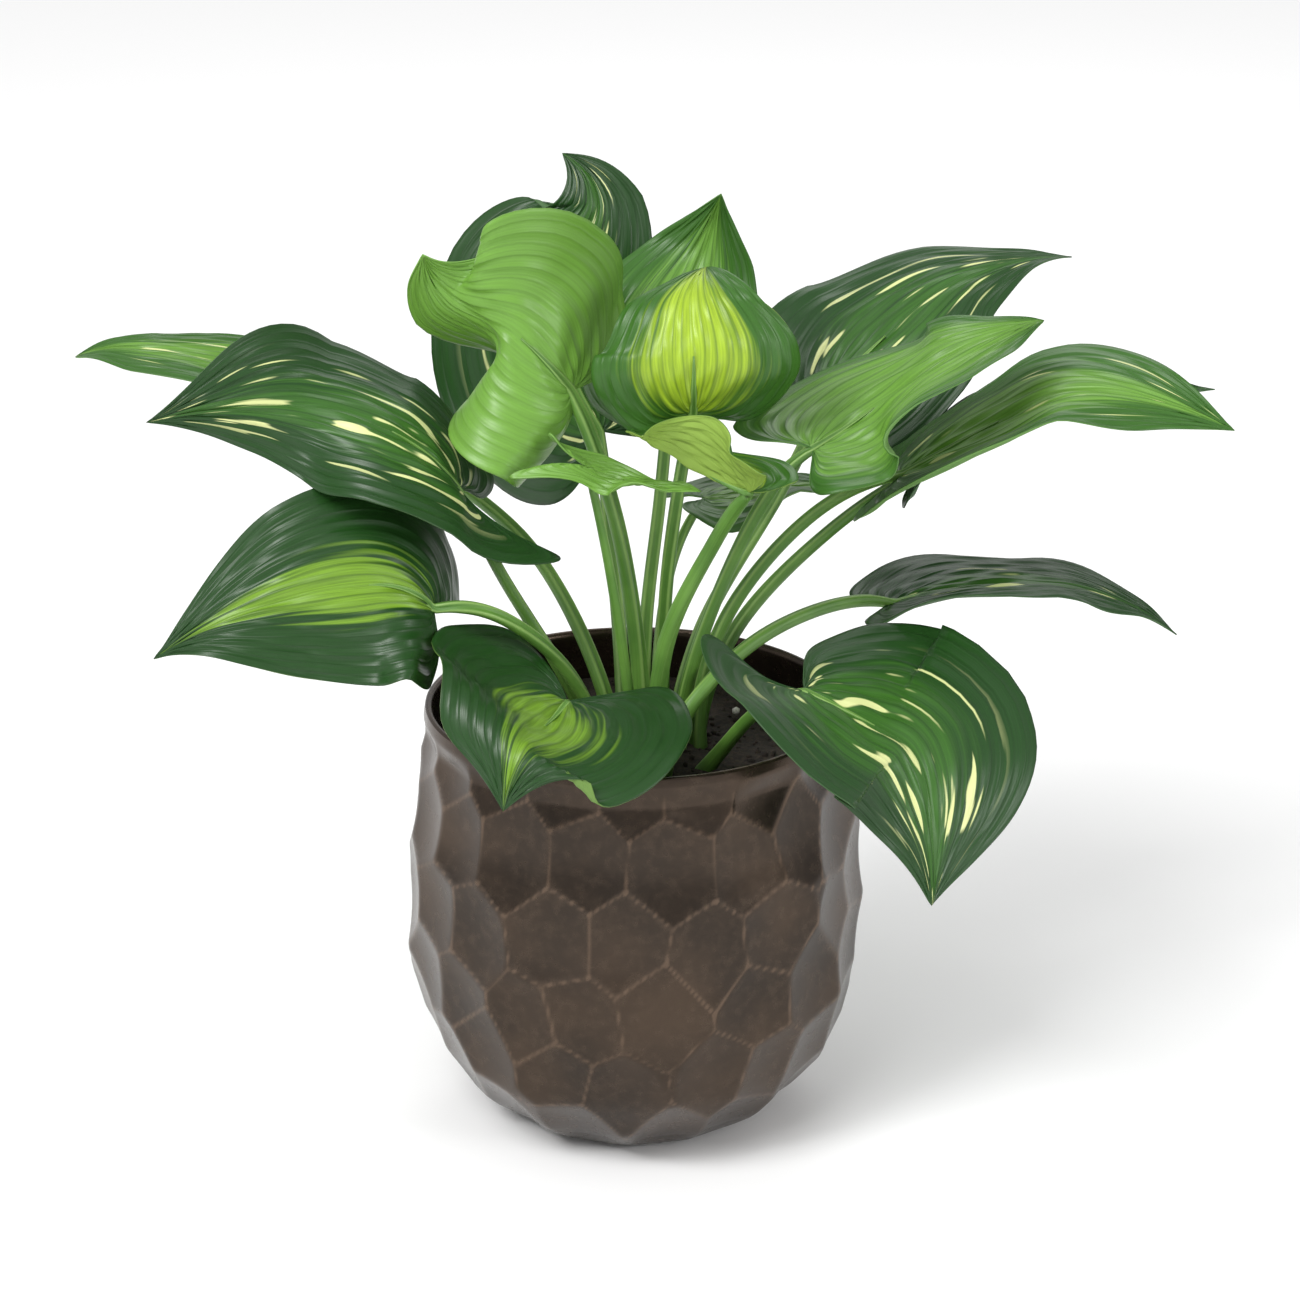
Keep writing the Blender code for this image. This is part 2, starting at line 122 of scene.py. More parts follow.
# %% Shader helpers
class Value:
    """A socket that can be used in arithmetic; an operation adds a Math node, or two."""

    def __init__(self, board, socket):
        self.board, self.socket = board, socket

    def math(self, operation, *others, clamp=False):
        settings = {"operation": operation, "use_clamp": clamp}
        node = self.board.node("Math", settings, dict(enumerate((self, *others))))
        return Value(self.board, node.outputs[0])

    def __add__(self, other):
        return self.math("ADD", other)

    def __sub__(self, other):
        return self.math("SUBTRACT", other)

    def __rsub__(self, other):
        return (self * -1) + other

    def __mul__(self, other):
        return self.math("MULTIPLY", other)

    def __pow__(self, other):
        return self.math("POWER", other)

    def __abs__(self):
        return self.math("ABSOLUTE")

    __radd__ = __add__
    __rmul__ = __mul__

    def clamped(self):
        """Held between 0 and 1."""
        return self.math("ADD", 0.0, clamp=True)

    def step(self, low, high):
        """0 below low, 1 above high, and smooth between them."""
        settings = {"interpolation_type": "SMOOTHSTEP"}
        node = self.board.node("MapRange", settings, {0: self, 1: low, 2: high, 3: 0.0, 4: 1.0})
        return Value(self.board, node.outputs[0])

    def cosine(self):
        return self.math("COSINE")


class Look:
    """A new material with one method for every kind of node."""

    def __init__(self, name, **constants):
        self.material = bpy.data.materials.new(name)
        self.material.use_nodes = True
        self.tree = self.material.node_tree
        self.shader = self.tree.nodes["Principled BSDF"]
        for socket, value in constants.items():
            self.shader.inputs[socket.replace("_", " ")].default_value = value

    def node(self, kind, settings=None, sockets=None):
        made = self.tree.nodes.new("ShaderNode" + kind)
        for key, value in (settings or {}).items():
            setattr(made, key, value)
        for key, value in (sockets or {}).items():
            self.feed(made.inputs[key], value)
        return made

    def feed(self, socket, value):
        if isinstance(value, Value):
            self.tree.links.new(value.socket, socket)
        else:
            socket.default_value = value

    def set(self, name, value):
        self.feed(self.shader.inputs[name], value)

    def coordinates(self, kind):
        return Value(self, self.node("TexCoord").outputs[kind])

    def parts(self, vector):
        split = self.node("SeparateXYZ", None, {0: vector})
        return [Value(self, split.outputs[k]) for k in range(3)]

    def vector(self, x, y, z=0.0):
        return Value(self, self.node("CombineXYZ", None, {0: x, 1: y, 2: z}).outputs[0])

    def noise(self, vector, scale, detail=3.0, roughness=0.5):
        sockets = {"Vector": vector, "Scale": scale, "Detail": detail, "Roughness": roughness}
        return Value(self, self.node("TexNoise", None, sockets).outputs[0])

    def blend(self, share, first, second):
        """first where share is 0, second where it is 1; colours are (r, g, b)."""
        first, second = [c if isinstance(c, Value) else (*c, 1.0) for c in (first, second)]
        node = self.node("Mix", {"data_type": "RGBA"}, {0: share, 6: first, 7: second})
        return Value(self, node.outputs[2])

    def bump(self, height, distance, strength=1.0):
        sockets = {"Height": height, "Distance": distance, "Strength": strength}
        self.set("Normal", Value(self, self.node("Bump", None, sockets).outputs[0]))


def shade(colour, factor):
    """The same colour made darker or lighter, channel by channel."""
    return tuple(factor * channel for channel in colour)

# %% [markdown]
# ## The pot
# A real pot like this is cast with shallow hollows, as if it had been hammered all over. Sculpting
# would do it, but a formula is exact and repeatable: each hollow is a dish, a parabola about its
# middle, and the wall follows whichever dish is deepest there. Where two dishes are equally deep
# a ridge is left between them. A soft maximum rounds the ridges as the glaze does.

# %% Work out the hammered wall
POT_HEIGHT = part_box("pot")[1].z
# (radius, height) down the outside, and over the rim down the inside, in millimetres
OUTSIDE = [
    (88.5, 183), (90, 172), (92.5, 158), (95, 141), (97.2, 124), (98.4, 107), (98.5, 92),
    (98, 78), (96.3, 64), (93, 50), (88.3, 38), (81, 27), (71, 15), (62, 8), (53, 2.5), (46, 0),
]
INSIDE = [(87.2, 186), (86.0, 185.9), (85.0, 184.5), (84.8, 172), (84.9, 160)]
HOLLOW_ROWS = 6
HOLLOWS_ROUND = 18
HOLLOWS_ROUND_FOOT = 13
LOWEST_HOLLOWS = 18
ROW_SPACING = 32
MEAN_RADIUS = 95 * MM
UPRIGHT = 0.85  # a hollow is taller than it is wide by the inverse of this
HOLLOW_DEPTH = 4.2 * MM
HOLLOW_STEEPNESS = 9.0
RIDGE_SOFTNESS = 0.25 * MM
POT_COLUMNS = 400
POT_ROWS = 120
INSIDE_ROWS = 14


def through(points, places):
    """A Catmull-Rom curve through the points: cubic pieces whose slopes agree where they meet."""
    points = np.asarray(points, float)
    step = np.linalg.norm(np.diff(points, axis=0), axis=1) ** 0.5
    knots = np.concatenate([[0], np.cumsum(step)]) / step.sum()
    share = np.diff(knots)
    before = np.diff(points, axis=0) / share[:, None]
    slope = np.empty_like(points)
    both = (share[1:] + share[:-1])[:, None]
    slope[1:-1] = (before[1:] * share[:-1, None] + before[:-1] * share[1:, None]) / both
    slope[0] = 2 * before[0] - slope[1]
    slope[-1] = 2 * before[-1] - slope[-2]
    places = np.clip(np.asarray(places, float), 0, 1)
    i = np.clip(np.searchsorted(knots, places, side="right") - 1, 0, len(points) - 2)
    h = share[i][..., None]
    s = ((places - knots[i]) / share[i])[..., None]
    return (
        (2 * s**3 - 3 * s**2 + 1) * points[i] + (s**3 - 2 * s**2 + s) * h * slope[i]
        + (3 * s**2 - 2 * s**3) * points[i + 1] + (s**3 - s**2) * h * slope[i + 1]
    )


def hollow_centres():
    """(angle, height) of every hollow's middle: staggered rows, each a little astray."""
    draw = np.random.default_rng(11)
    centres = []
    for row in range(HOLLOW_ROWS):
        count = HOLLOWS_ROUND if row else HOLLOWS_ROUND_FOOT
        for k in range(count):
            angle = 2 * math.pi * (k + 0.5 * (row % 2)) / count + draw.uniform(-0.09, 0.09)
            height = LOWEST_HOLLOWS + ROW_SPACING * row + draw.uniform(-8, 8)
            centres.append((angle, height * MM))
    return np.array(centres)


def hollow_depth(angle, height):
    """How deep the wall is pressed in, and how nearly two dishes tie, which is 0 off the ridges.

    A dish is depth - steepness * distance^2. The wall takes their soft maximum, softness *
    log(sum(exp(dish / softness))), faded out at the rim and the foot. It exceeds the plain
    maximum only where two dishes are nearly equal, and that excess finds the ridges.
    """
    total = np.zeros(np.broadcast(angle, height).shape)
    lowest = -20 * MM
    deepest = np.full(total.shape, lowest)
    for middle, level in hollow_centres():
        turn = (angle - middle + math.pi) % (2 * math.pi) - math.pi
        away = (turn * MEAN_RADIUS) ** 2 + (UPRIGHT * (height - level)) ** 2
        dish = HOLLOW_DEPTH - HOLLOW_STEEPNESS * away
        total += np.exp(np.maximum(dish, lowest) / RIDGE_SOFTNESS)
        deepest = np.maximum(deepest, dish)
    soft = RIDGE_SOFTNESS * np.log(total)
    below_rim = np.clip((POT_HEIGHT - 5 * MM - height) / (8 * MM), 0, 1)
    fade = below_rim * np.clip(height / (12 * MM), 0, 1)
    return np.maximum(soft, 0) * fade, (soft - deepest) / RIDGE_SOFTNESS * fade


turns = np.arange(POT_COLUMNS) * 2 * math.pi / POT_COLUMNS
wall = through([(88.0, POT_HEIGHT / MM - 0.4), *OUTSIDE], np.linspace(0, 1, POT_ROWS)) * MM
radius, level = wall[:, 0][:, None], wall[:, 1][:, None]
depth, ridge = hollow_depth(turns[None, :], level)
inner = through(INSIDE, np.linspace(0, 1, INSIDE_ROWS)) * MM
foot_middle = np.zeros((1, POT_COLUMNS))
profile_radius = np.concatenate([foot_middle, (radius - depth)[::-1], inner[:, :1] + 0 * turns])
profile_level = np.concatenate([[0.0], wall[::-1, 1], inner[:, 1]])[:, None] + 0 * turns
points = np.stack([profile_radius * np.cos(turns), profile_radius * np.sin(turns), profile_level], -1)
ridge_share = np.zeros(profile_level.shape)
ridge_share[1 : 1 + POT_ROWS] = ridge[::-1]
round_share = np.broadcast_to(turns / (2 * math.pi), ridge_share.shape)
pot_uv = np.stack([round_share, ridge_share], -1).reshape(-1, 2)
print("deepest hollow, mm:", round(float(depth.max()) / MM, 2))

# %% [markdown]
# ## The pot's glaze
# The glaze is a dark bronze brown with a satin shine. Its colour changes slowly over the wall,
# and a painted highlight makes it redder and paler along the ridges. Two noises of different size
# shift the colour and the roughness, and a value kept in the UV map finds the ridges.

# %% Glaze and set the pot
def glaze():
    """Bronze brown, blotched by a broad noise, flecked by a fine one, with a painted highlight on the
    ridges.
    """
    look = Look("dark_bronze_glaze", Metallic=0.8)
    place = look.coordinates("Object")
    _, ridge, _ = look.parts(look.coordinates("UV"))
    broad = look.noise(place, 18.0).step(0.35, 0.7)
    fine = look.noise(place, 220.0, 4.0)
    colour = look.blend(broad, (0.040, 0.030, 0.023), (0.068, 0.047, 0.033))
    colour = look.blend((fine - 0.45).clamped() * 0.8, colour, (0.12, 0.085, 0.06))
    # painted highlight: the ridges are coloured paler and redder, as lit ridges look
    colour = look.blend(ridge.step(0.05, 0.6) * 0.5, colour, (0.17, 0.115, 0.08))
    look.set("Base Color", colour)
    look.set("Roughness", 0.20 + fine * 0.12)
    look.bump(fine, 0.0001, 0.3)
    return look.material


add_piece(
    "pot_hammered", points.reshape(-1, 3), grid_faces(len(points), POT_COLUMNS, around=True),
    glaze(), "pot", pot_uv, merge=POLE,
)
print("pot:", len(points), "rows of", POT_COLUMNS, "points")

# %% [markdown]
# ## Soil, crown and grains
# Potting soil is a dark crumbly mix with a few white puffed grains. The top is one disc on a polar
# grid whose height is a sum of small waves, heaped a little round the crown. Loose crumbs lie on
# it: each is a rough lump with few faces, because there are hundreds of them. The heap covers the
# crown, so the crumbs, which lie on it too, take the place of the crown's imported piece.

# %% Heap the soil
crown_low, crown_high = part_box("root_crown")
SOIL_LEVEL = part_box("soil")[1].z
SOIL_RADIUS = 84.3 * MM
SOIL_DEPTH = 20 * MM
SOIL_RINGS = 60
SOIL_SPOKES = 160
CROWN = ((crown_low.x + crown_high.x) / 2, (crown_low.y + crown_high.y) / 2)
CROWN_REACH = (crown_high.x - crown_low.x) / 2
# height in millimetres, waves per metre in radians, and the way each wave runs
WAVES = [(0.5, 160, 0.4), (0.35, 310, 1.9), (0.25, 620, 3.3), (0.2, 900, 5.0)]


def soil_height(x, y):
    """A heap round the crown plus waves of four sizes and directions."""
    reach = np.hypot(x - CROWN[0], y - CROWN[1]) / CROWN_REACH
    heap = (crown_high.z - SOIL_LEVEL) * 0.9 * np.exp(-(reach**4))
    waves = sum(
        size * np.sin(rate * (x * math.cos(way) + y * math.sin(way)) + way)
        for size, rate, way in WAVES
    )
    return SOIL_LEVEL - 0.6 * MM + heap + waves * MM


def soil_look():
    """Nearly black crumbs and brown ones, from one fine noise that also roughens the surface."""
    look = Look("potting_soil")
    place = look.coordinates("Object")
    grain = look.noise(place, 420.0, 5.0, 0.7)
    colour = look.blend(grain.step(0.35, 0.7), (0.010, 0.007, 0.005), (0.045, 0.031, 0.020))
    look.set("Base Color", colour)
    look.set("Roughness", 0.8 + grain * 0.2)
    look.bump(grain, 0.0012)
    return look.material


rings = np.linspace(0, 1, SOIL_RINGS) ** 0.8 * SOIL_RADIUS
spokes = np.arange(SOIL_SPOKES) * 2 * math.pi / SOIL_SPOKES
ring, turn = np.meshgrid(rings, spokes, indexing="ij")
x, y = ring * np.cos(turn), ring * np.sin(turn)
top = np.stack([x, y, soil_height(x, y)], -1)
base = top[-1:] * (1, 1, 0) + (0, 0, SOIL_LEVEL - SOIL_DEPTH)
foot = base * (0, 0, 1)
soil_points = np.concatenate([top, base, foot]).reshape(-1, 3)
soil_dark = soil_look()
soil_faces = grid_faces(SOIL_RINGS + 2, SOIL_SPOKES, around=True, flip=True)
add_piece("soil_top", soil_points, soil_faces, soil_dark, "soil", merge=POLE)
print("soil:", len(soil_points), "points")

# %% Scatter crumbs and grains
CRUMBS = 700
CRUMB_REACH = 82 * MM
LUMP_CORNERS = 12


def lump(draw, middle, size, rough=0.25):
    """An icosahedron pushed about: corners of a golden rectangle in each plane, then jittered."""
    golden = (1 + 5**0.5) / 2
    corners = np.array([(a, b * golden, 0) for a in (-1, 1) for b in (-1, 1)])
    corners = unit(np.concatenate([corners, np.roll(corners, 1, 1), np.roll(corners, 2, 1)]))
    corners = corners * (1 + draw.uniform(-rough, rough, (LUMP_CORNERS, 1)))
    return corners * size * draw.uniform(0.7, 1.2, 3) + middle


def lump_faces():
    """The 20 triangles of the icosahedron, as its convex hull, wound outwards."""
    corners = lump(np.random.default_rng(0), np.zeros(3), 1.0, 0.0)
    shape = bmesh.new()
    for corner in corners:
        shape.verts.new(corner)
    bmesh.ops.convex_hull(shape, input=shape.verts)
    bmesh.ops.recalc_face_normals(shape, faces=shape.faces)
    shape.verts.index_update()
    faces = [[v.index for v in face.verts] for face in shape.faces]
    shape.free()
    return np.array(faces)


def lumps(name, places, sizes, look, node, seed, rough=0.25):
    """One mesh of many lumps: the faces of lump k are those of the first, moved on by its corners."""
    draw = np.random.default_rng(seed)
    shapes = np.array(
        [lump(draw, np.array(place), size, rough) for place, size in zip(places, sizes)]
    )
    first_corners = LUMP_CORNERS * np.arange(len(shapes))[:, None, None]
    faces = (LUMP_FACES[None] + first_corners).reshape(-1, 3)
    add_piece(name, shapes.reshape(-1, 3), faces, look, node)


LUMP_FACES = lump_faces()
draw = np.random.default_rng(5)
away = np.sqrt(draw.uniform(0, 1, CRUMBS)) * CRUMB_REACH
about = draw.uniform(0, 2 * math.pi, CRUMBS)
x, y = away * np.cos(about), away * np.sin(about)
crumb_places = np.stack([x, y, soil_height(x, y)], -1)
crumb_sizes = draw.uniform(0.6, 1.9, CRUMBS) * MM
lumps(
    "soil_crumbs", crumb_places, crumb_sizes, soil_dark, "root_crown", 6,
)

white = Look("white_grain", Roughness=0.85)
speck = white.noise(white.coordinates("Object"), 900.0)
white.set("Base Color", white.blend(speck.step(0.4, 0.7), (0.78, 0.76, 0.70), (0.55, 0.52, 0.46)))
for number in (1, 2, 3, 4):
    low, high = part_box(f"grain_{number}")
    middle, size = (low + high) / 2, (high.x - low.x) / 2
    lumps(
        f"white_grain_{number}", [middle], [size * 0.95], white.material,
        f"grain_{number}", number, 0.12,
    )
print("crumbs:", len(crumb_places))

# %% [markdown]
# ## Where each leaf goes
# No two leaves of a clump are alike, so each has its own row: the stalk's path, the midrib's path,
# which way the blade faces, how wide its halves are, and how they lift and curl. Lengths are in
# millimetres and angles in degrees. The stalk starts at the soil and the midrib ends at the tip.
# Most of these numbers weren't chosen by hand: a least-squares fit of the blades'
# outlines gave them, rounded to whole millimetres and five degrees. Some rows were then changed,
# to keep neighbouring leaves apart. The imported model holds the same rows.

# %% The rows
HEART = [
    (0, 0), (-0.07, 0.15), (-0.15, 0.36), (-0.16, 0.60), (-0.06, 0.85), (0.12, 0.99),
    (0.32, 0.97), (0.52, 0.80), (0.70, 0.54), (0.84, 0.27), (0.94, 0.09), (1, 0),
]


def leaf(stalk, midrib, faces, widths, lobes, left, right, curl, droop, thick=(3.6, 2.7)):
    """One leaf's row, kept as a dictionary."""
    return dict(
        stalk=stalk, midrib=midrib, faces=faces, widths=widths, lobes=lobes,
        left=left, right=right, curl=curl, droop=droop, thick=thick,
    )


LEAVES = {
    "far_left": leaf(
        stalk=[(-10, -1), (-14, 4, 192), (-51, 34, 250)],
        midrib=[(-131, 70, 283), (-158, 91, 303), (-213, 88, 315), (-245, 106, 305)],
        faces=[(0.5, -0.4, 0.8), (-0.6, -0.1, 0.8)], widths=(37, 33), lobes=(1, 1),
        left=(5, 5, -5), right=(0, -5, 5), curl=(5, -30), droop=(0, 0),
    ),
    "upper_left": leaf(
        stalk=[(-16, -11), (-24, -14, 192), (-55, -18, 250)],
        midrib=[(-71, -25, 288), (-92, -31, 311), (-132, -30, 324), (-194, -40, 320)],
        faces=[(0.9, 0.1, 0.5), (0.1, -0.9, 0.3)], widths=(38, 50), lobes=(1.8, 1),
        left=(0, -30, -25), right=(20, -10, 45), curl=(-15, -15), droop=(-15, 0),
    ),
    "lower_left": leaf(
        stalk=[(-12, -20), (-26, -24, 206), (-58, -42, 240)],
        midrib=[(-81, -46, 243), (-97, -54, 256), (-151, -66, 251), (-192, -66, 229)],
        faces=[(0.8, -0.6, 0.2), (-0.6, -0.6, 0.6)], widths=(41, 45), lobes=(1, 1),
        left=(15, -10, 5), right=(-10, 10, -5), curl=(-5, -25), droop=(10, 10),
    ),
    "front_left": leaf(
        stalk=[(-3, -32), (-16, -42, 188)],
        midrib=[(-27, -49, 204), (-35, -74, 204), (-45, -107, 208), (-51, -113, 183)],
        faces=[(0.2, -0.1, 1), (-0.1, -1, -0.1)], widths=(57, 58), lobes=(1.2, 1.3),
        left=(10, 0, -25), right=(20, 0, -35), curl=(10, 5), droop=(-5, 0),
    ),
    "front_right": leaf(
        stalk=[(28, -27), (36, -30, 175), (52, -46, 200)],
        midrib=[(69, -60, 213), (96, -76, 205), (112, -82, 196), (119, -106, 139)],
        faces=[(0.1, -0.1, 1), (0.4, -0.9, 0.3)], widths=(72, 58), lobes=(0.9, 1.7),
        left=(5, -5, 0), right=(10, 5, 0), curl=(5, 10), droop=(10, -15),
    ),
    "right_low": leaf(
        stalk=[(11, -35), (22, -28, 192), (52, -2, 214), (88, 20, 222)],
        midrib=[(111, 28, 219), (147, 31, 226), (194, 36, 222), (232, 29, 204)],
        faces=[(-0.3, 0.1, 0.9), (0.5, -0.1, 0.8)], widths=(41, 38), lobes=(0.8, 0.7),
        left=(10, 0, 0), right=(5, 10, 0), curl=(0, 0), droop=(0, 0), thick=(4, 3),
    ),
    "right": leaf(
        stalk=[(27, -3), (37, 6, 217), (77, 12, 266)],
        midrib=[(111, 10, 282), (150, 5, 307), (180, 1, 322), (245, -9, 307)],
        faces=[(-0.6, -0.2, 0.8), (0.2, -0.7, 0.7)], widths=(48, 43), lobes=(0.8, 0.9),
        left=(0, -5, 0), right=(5, 10, -5), curl=(-35, 40), droop=(0, 0),
    ),
    "back_right": leaf(
        stalk=[(17, 4), (28, 26, 206), (64, 52, 264)],
        midrib=[(82, 78, 294), (106, 90, 317), (141, 111, 339), (191, 118, 347)],
        faces=[(-0.4, -0.8, 0.5), (0, 0, 1)], widths=(48, 46), lobes=(1, 1),
        left=(5, 0, -5), right=(0, 0, 5), curl=(-5, -20), droop=(0, 0),
    ),
    "mid_right": leaf(
        stalk=[(18, -8), (25, -10, 208), (56, -18, 285)],
        midrib=[(73, -20, 303), (94, -9, 314), (127, -14, 341), (167, 3, 350)],
        faces=[(0, -0.4, 0.9), (0.2, -0.3, 0.9)], widths=(49, 42), lobes=(0.7, 1),
        left=(5, -5, 0), right=(0, 10, 0), curl=(-40, 25), droop=(-5, 10),
    ),
    "centre": leaf(
        stalk=[(12, -2), (13, -10, 233), (18, -24, 285)],
        midrib=[(24, -36, 323), (24, -43, 348), (23, -29, 369), (30, 0, 373)],
        faces=[(0.1, -0.8, -0.6), (-0.1, 0.2, 1)], widths=(43, 46), lobes=(1, 1.1),
        left=(0, -10, 0), right=(-5, 0, 0), curl=(-35, -25), droop=(0, 10), thick=(3.2, 2.6),
    ),
    "centre_back": leaf(
        stalk=[(4, 5), (5, 16, 214), (11, 24, 268)],
        midrib=[(14, 29, 302), (16, 24, 331), (29, 44, 369), (36, 39, 394)],
        faces=[(0.1, -0.8, -0.5), (-0.3, -0.9, -0.4)], widths=(44, 45), lobes=(0.7, 0.6),
        left=(-10, 5, 0), right=(-10, 0, 0), curl=(-50, -20), droop=(5, 5), thick=(3.2, 2.6),
    ),
    "small_centre": leaf(
        stalk=[(11, -23), (13, -30, 221), (33, -44, 272)],
        midrib=[(46, -64, 299), (30, -58, 304), (10, -62, 317), (4, -80, 327)],
        faces=[(0, -0.1, 1), (0.1, 0.3, 0.9)], widths=(29, 27), lobes=(1, 1.2),
        left=(70, 70, 60), right=(15, 20, 10), curl=(-35, -15), droop=(0, 0), thick=(4.2, 3),
    ),
    "back": leaf(
        stalk=[(-4, 8), (-6, 30, 199), (-11, 54, 247)],
        midrib=[(-15, 69, 283), (-32, 82, 335), (-16, 93, 378), (-31, 105, 396)],
        faces=[(0, -1, 0.2), (-0.1, -0.8, 0.6)], widths=(64, 54), lobes=(0.8, 0.8),
        left=(-10, 5, 0), right=(0, 0, 0), curl=(-35, -25), droop=(0, 0),
    ),
    "mid_left": leaf(
        stalk=[(4, -13), (3, -8, 198), (-7, -14, 270)],
        midrib=[(-25, -16, 326), (-47, -21, 351), (-74, -8, 363), (-84, -14, 382)],
        faces=[(0.7, -0.7, 0), (0.1, -0.8, -0.6)], widths=(52, 60), lobes=(1.8, 0.9),
        left=(10, -20, 0), right=(-5, -10, 5), curl=(-30, -20), droop=(25, 10), thick=(4.2, 3.2),
    ),
    "far_right": leaf(
        stalk=[(26, 7), (42, 20, 208), (83, 38, 248)],
        midrib=[(122, 47, 272), (152, 50, 297), (199, 65, 301), (249, 70, 301)],
        faces=[(-0.8, -0.1, 0.6), (0, -0.3, 0.9)], widths=(35, 28), lobes=(0.8, 0.6),
        left=(0, 5, 0), right=(10, 0, 0), curl=(-15, 5), droop=(0, 0),
    ),
    "low_back": leaf(
        stalk=[(10, 14), (12, 50, 206), (20, 80, 229)],
        midrib=[(31, 94, 244), (54, 103, 244), (78, 111, 244), (97, 128, 237)],
        faces=[(0.1, 0, 1), (0.5, 0.1, 0.9)], widths=(31, 29), lobes=(1, 1.3),
        left=(0, 0, 5), right=(-5, 20, -5), curl=(-15, -10), droop=(0, -10), thick=(2.8, 2),
    ),
    "young": leaf(
        stalk=[(1, -22), (-2, -22, 196), (-10, -30, 257)],
        midrib=[(-18, -40, 301), (-5, -42, 297), (12, -57, 300), (27, -58, 297)],
        faces=[(0.4, -0.3, 0.9), (0.4, -0.2, 0.9)], widths=(14, 11), lobes=(2.2, 3.1),
        left=(0, 0, 0), right=(5, -5, 5), curl=(-20, -20), droop=(-5, 10), thick=(2.8, 2),
    ),
}
print("leaves:", len(LEAVES))

# %% [markdown]
# ## A blade as one surface
# One parameter runs from the stalk to the tip and the other from the midrib out to a margin.
# Lines of the second parameter leave the stalk together and meet again at the tip, which is how
# a hosta's veins run, so the same parameters place its ribs. The flat heart is bent in three
# steps: along the midrib, up or down at the midrib, and round towards the margin.

# %% Work out a blade
ROWS = 64
COLUMNS = 30
RIBS = 10
RIB_HEIGHT = 0.32 * MM
CRINKLE_HEIGHT = 0.75 * MM
MIDRIB_DEPTH = 1.3 * MM
SHEET = 0.6 * MM


def blade_surface(shape, seed):
    """Bend the heart outline onto the midrib, then add ribs, a sunken midrib and a wavy margin.

    A point's distance along the midrib is x and its distance out is y. The half lifts at an angle
    and curls at a steady rate, so sideways = (sin(a + k y) - sin a) / k, and upwards likewise.
    """
    rib = through(np.array(shape["midrib"]) * MM, np.linspace(0, 1, 200))
    run = np.concatenate([[0], np.cumsum(np.linalg.norm(np.diff(rib, axis=0), axis=1))])
    length = run[-1]
    heading = unit(np.gradient(rib, run, axis=0))
    rows, columns = np.linspace(0, 1, ROWS + 1), np.linspace(-1, 1, 2 * COLUMNS + 1)
    u, v = np.meshgrid(rows, columns, indexing="ij")
    on_left = v < 0

    def by_side(pair):
        return np.where(on_left, pair[0], pair[1])

    outline = through(HEART, u)
    reach, out = outline[..., 0], outline[..., 1]
    reach = np.where(reach < 0, reach * by_side(shape["lobes"]), reach)
    spread = np.abs(v) ** 1.4
    x = ((1 - spread) * u**1.5 + spread * reach) * length
    width = by_side(shape["widths"]) * MM
    y = np.abs(v) * out * width
    at = np.clip(x, 0, length)
    middle = np.stack([np.interp(at, run, rib[:, k]) for k in range(3)], -1)
    ahead = unit(np.stack([np.interp(at, run, heading[:, k]) for k in range(3)], -1))
    share = (at / length)[..., None]
    base_face, tip_face = unit(np.array(shape["faces"], float))
    face = base_face * (1 - share) + tip_face * share
    normal = unit(face - (face * ahead).sum(-1, keepdims=True) * ahead)
    across = np.cross(ahead, normal)
    behind = np.minimum(x, 0)[..., None]
    bend = np.tan(np.radians(by_side(shape["droop"])))[..., None]
    middle = middle + behind * ahead - normal * bend * behind**2 / (0.15 * length)

    def lift(angles):
        return np.interp(np.clip(x / length, 0, 1), (0, 0.5, 1), angles)

    start = np.radians(np.where(on_left, lift(shape["left"]), lift(shape["right"])))
    bending = np.radians(by_side(shape["curl"])) / width
    bending = np.where(np.abs(bending) < 1e-4, 1e-4, bending)
    sideways = (np.sin(start + bending * y) - np.sin(start)) / bending
    raised = (np.cos(start) - np.cos(start + bending * y)) / bending

    draw = np.random.default_rng(seed)
    phase = draw.uniform(0, 2 * math.pi, 6)
    side = np.abs(v)
    body = np.sin(math.pi * np.clip(u, 0, 1)) ** 0.6
    ribs = RIB_HEIGHT * np.cos(2 * math.pi * RIBS * side) * body * np.clip(1.25 - side, 0, 1)
    crinkle = np.sin(22 * u + 9 * v + phase[0]) * np.sin(31 * v - 8 * u + phase[1])
    crinkle = CRINKLE_HEIGHT * crinkle * body
    groove = -MIDRIB_DEPTH * np.exp(-((side / 0.05) ** 2)) * body
    wave = side**2 * (
        1.5 * MM * np.sin(13 * u + phase[2] + 2 * on_left) + 0.9 * MM * np.sin(27 * u + phase[3])
    ) * body
    raised = raised + ribs + crinkle + groove + wave
    grid = middle + across * (sideways * np.sign(v))[..., None] + normal * raised[..., None]
    return grid, np.stack([u, (v + 1) / 2], -1)


def sheet_of(grid, uv):
    """The upper and lower skin, each half a sheet's thickness away along the normal, and the rim."""
    along, outward = np.gradient(grid, axis=0), np.gradient(grid, axis=1)
    normal = unit(np.cross(outward, along))
    normal[0] = unit(normal[1].mean(0))
    normal[-1] = unit(normal[-2].mean(0))
    rows, wide = grid.shape[:2]
    count = rows * wide
    points = np.concatenate([grid + normal * SHEET / 2, grid - normal * SHEET / 2]).reshape(-1, 3)
    upper = grid_faces(rows, wide)
    lower = grid_faces(rows, wide, first=count, flip=True)
    k = np.arange(rows - 1)
    first_rim = np.stack([k * wide, (k + 1) * wide, (k + 1) * wide + count, k * wide + count], -1)
    last = k * wide + wide - 1
    last_rim = np.stack([last + wide, last, last + count, last + wide + count], -1)
    faces = np.concatenate([upper, lower, first_rim, last_rim])
    under = np.concatenate([np.zeros(count), np.ones(count)])
    return points, faces, np.concatenate([uv, uv]).reshape(-1, 2), under


